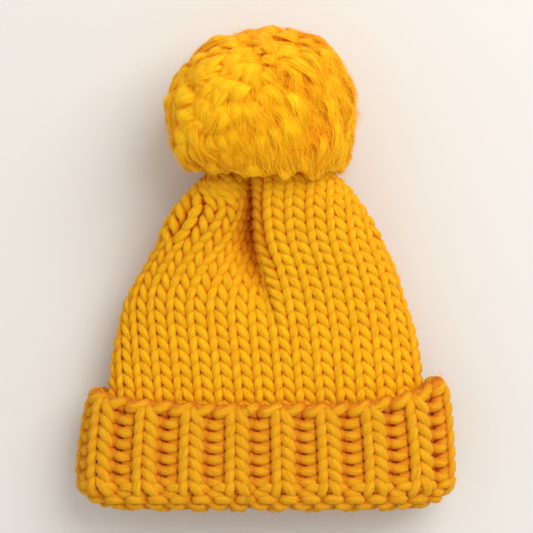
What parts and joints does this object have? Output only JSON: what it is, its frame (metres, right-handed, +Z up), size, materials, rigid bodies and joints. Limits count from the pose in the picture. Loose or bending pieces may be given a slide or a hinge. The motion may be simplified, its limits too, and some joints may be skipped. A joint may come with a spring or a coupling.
{
  "type": "pompom beanie",
  "caption": "Chunky hand-knitted beanie with a turned-up ribbed cuff and a tied yarn pompom, lying flat.",
  "frame": {"origin": "on the surface the hat lies on, under the middle of its box", "axes": "+X across the hat, +Y from the mouth to the pompom, +Z up from the surface"},
  "size_m": [0.2196, 0.28, 0.0988],
  "materials": {
    "body_wool": "soft single-ply roving yarn in stocking stitch, golden yellow",
    "cuff_wool": "the same yarn in knit one, purl one rib, a little darker",
    "pompom_wool": "loose cut roving, brushed and fluffy",
    "tie_yarn": "the same yarn pulled tight"
  },
  "bodies": {
    "hat": {"knitted_body": "body_wool", "gathered_crown": "body_wool", "inner_band": "cuff_wool", "fold_ridge": "cuff_wool", "turned_cuff": "cuff_wool", "cast_on_edge": "cuff_wool", "gathering_cord": "tie_yarn", "gathering_knot": "tie_yarn"},
    "tie_knot": {"tie_knot": "tie_yarn"},
    "tie_tails": {"tie_tail_left": "tie_yarn", "tie_tail_right": "tie_yarn"},
    "pompom": {"tie_leg_left": "tie_yarn", "tie_leg_right": "tie_yarn", "pompom_tie": "tie_yarn", "strand_waist": "pompom_wool", "tuft_tip": "pompom_wool", "tuft_upper_01": "pompom_wool", "tuft_upper_02": "pompom_wool", "tuft_upper_03": "pompom_wool", "tuft_upper_04": "pompom_wool", "tuft_upper_05": "pompom_wool", "tuft_upper_06": "pompom_wool", "tuft_middle_01": "pompom_wool", "tuft_middle_02": "pompom_wool", "tuft_middle_03": "pompom_wool", "tuft_middle_04": "pompom_wool", "tuft_middle_05": "pompom_wool", "tuft_middle_06": "pompom_wool", "tuft_middle_07": "pompom_wool", "tuft_middle_08": "pompom_wool", "tuft_middle_09": "pompom_wool", "tuft_middle_10": "pompom_wool", "tuft_lower_01": "pompom_wool", "tuft_lower_02": "pompom_wool", "tuft_lower_03": "pompom_wool", "tuft_lower_04": "pompom_wool", "tuft_lower_05": "pompom_wool", "tuft_lower_06": "pompom_wool", "tuft_lower_07": "pompom_wool", "tuft_lower_08": "pompom_wool", "tuft_lower_09": "pompom_wool", "tuft_lower_10": "pompom_wool", "tuft_lower_11": "pompom_wool", "tuft_under_01": "pompom_wool", "tuft_under_02": "pompom_wool", "tuft_under_03": "pompom_wool", "tuft_under_04": "pompom_wool", "tuft_under_05": "pompom_wool", "tuft_under_06": "pompom_wool", "tuft_under_07": "pompom_wool", "tuft_under_08": "pompom_wool"}
  },
  "joints": [
    {"name": "pompom_twist", "type": "hinge", "parent": "hat", "child": "tie_knot", "pos_m": [-0.0025, 0.066, 0.05], "axis": [0, 1, 0], "range_deg": [-60, 60]},
    {"name": "pompom_sway", "type": "hinge", "parent": "tie_knot", "child": "tie_tails", "pos_m": [-0.0025, 0.066, 0.05], "axis": [0, 0, 1], "range_deg": [-12, 12]},
    {"name": "pompom_nod", "type": "hinge", "parent": "tie_tails", "child": "pompom", "pos_m": [-0.0025, 0.066, 0.05], "axis": [1, 0, 0], "range_deg": [-12, 12]}
  ]
}
